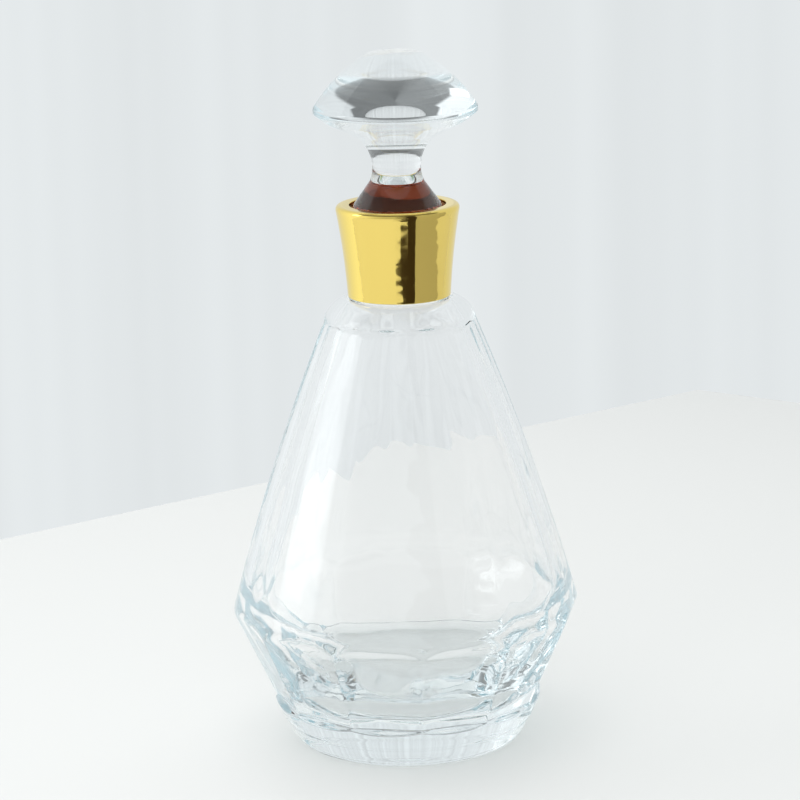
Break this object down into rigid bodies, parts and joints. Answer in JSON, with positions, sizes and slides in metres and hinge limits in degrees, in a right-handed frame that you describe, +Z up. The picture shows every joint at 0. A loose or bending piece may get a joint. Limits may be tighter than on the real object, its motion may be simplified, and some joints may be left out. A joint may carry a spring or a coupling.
{
  "type": "stoppered glass bottle",
  "caption": "Clear faceted teardrop glass bottle with a heavy base, a mirror-bright gold neck collar and a solid glass mushroom stopper that lifts out of its ground neck.",
  "frame": {"origin": "centre of the bottle's flat base, on the surface it stands on", "axes": "+Z up along the bottle's axis, +X through the middle of a facet"},
  "size_m": [0.1428, 0.1428, 0.2914],
  "materials": {
    "bottle_glass": "clear, fire-polished, slightly wavy inside",
    "collar_gold": "mirror-polished gold colour, red-brown on the glass side",
    "stopper_glass": "clear, polished, with a finely ground plug"
  },
  "bodies": {
    "bottle": {"glass_bottle": "bottle_glass", "gold_collar": "collar_gold"},
    "stopper": {"glass_stopper": "stopper_glass"}
  },
  "joints": [
    {"name": "stopper_lift", "type": "slide", "parent": "bottle", "child": "stopper", "axis": [0, 0, 1], "range_m": [0, 0.045]}
  ]
}
